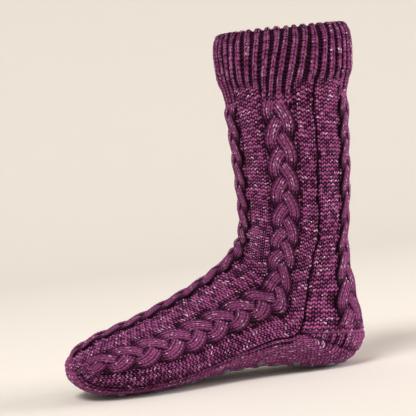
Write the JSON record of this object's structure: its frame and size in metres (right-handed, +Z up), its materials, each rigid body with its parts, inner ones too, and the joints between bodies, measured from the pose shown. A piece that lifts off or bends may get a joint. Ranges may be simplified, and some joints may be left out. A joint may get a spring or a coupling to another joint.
{
  "type": "slipper sock",
  "caption": "Chunky cable-knit slipper sock in plum marl yarn, standing in its worn shape, with a deep ribbed cuff, plain heel and sole, and round silicone grip dots.",
  "frame": {"origin": "on the floor under the middle of the sock's bounding box", "axes": "+Z up, toe towards -X, +Y towards the outer (little toe) side of a right foot"},
  "size_m": [0.2516, 0.101, 0.27],
  "materials": {
    "plum_marl_yarn": "soft matt marl knit with fine pale flecks",
    "grip_silicone": "satin moulded silicone"
  },
  "bodies": {
    "root": {"knit_sock": "plum_marl_yarn", "grip_dot_01": "grip_silicone", "grip_dot_02": "grip_silicone", "grip_dot_03": "grip_silicone", "grip_dot_04": "grip_silicone", "grip_dot_05": "grip_silicone", "grip_dot_06": "grip_silicone", "grip_dot_07": "grip_silicone", "grip_dot_08": "grip_silicone", "grip_dot_09": "grip_silicone", "grip_dot_10": "grip_silicone", "grip_dot_11": "grip_silicone", "grip_dot_12": "grip_silicone", "grip_dot_13": "grip_silicone", "grip_dot_14": "grip_silicone", "grip_dot_15": "grip_silicone", "grip_dot_16": "grip_silicone", "grip_dot_17": "grip_silicone", "grip_dot_18": "grip_silicone", "grip_dot_19": "grip_silicone", "grip_dot_20": "grip_silicone", "grip_dot_21": "grip_silicone", "grip_dot_22": "grip_silicone", "grip_dot_23": "grip_silicone", "grip_dot_24": "grip_silicone", "grip_dot_25": "grip_silicone", "grip_dot_26": "grip_silicone", "grip_dot_27": "grip_silicone", "grip_dot_28": "grip_silicone", "grip_dot_29": "grip_silicone", "grip_dot_30": "grip_silicone", "grip_dot_31": "grip_silicone", "grip_dot_32": "grip_silicone", "grip_dot_33": "grip_silicone", "grip_dot_34": "grip_silicone", "grip_dot_35": "grip_silicone", "grip_dot_36": "grip_silicone", "grip_dot_37": "grip_silicone", "grip_dot_38": "grip_silicone", "grip_dot_39": "grip_silicone", "grip_dot_40": "grip_silicone", "grip_dot_41": "grip_silicone", "grip_dot_42": "grip_silicone", "grip_dot_43": "grip_silicone", "grip_dot_44": "grip_silicone", "grip_dot_45": "grip_silicone", "grip_dot_46": "grip_silicone", "grip_dot_47": "grip_silicone", "grip_dot_48": "grip_silicone", "grip_dot_49": "grip_silicone", "grip_dot_50": "grip_silicone", "grip_dot_51": "grip_silicone", "grip_dot_52": "grip_silicone"}
  },
  "joints": []
}
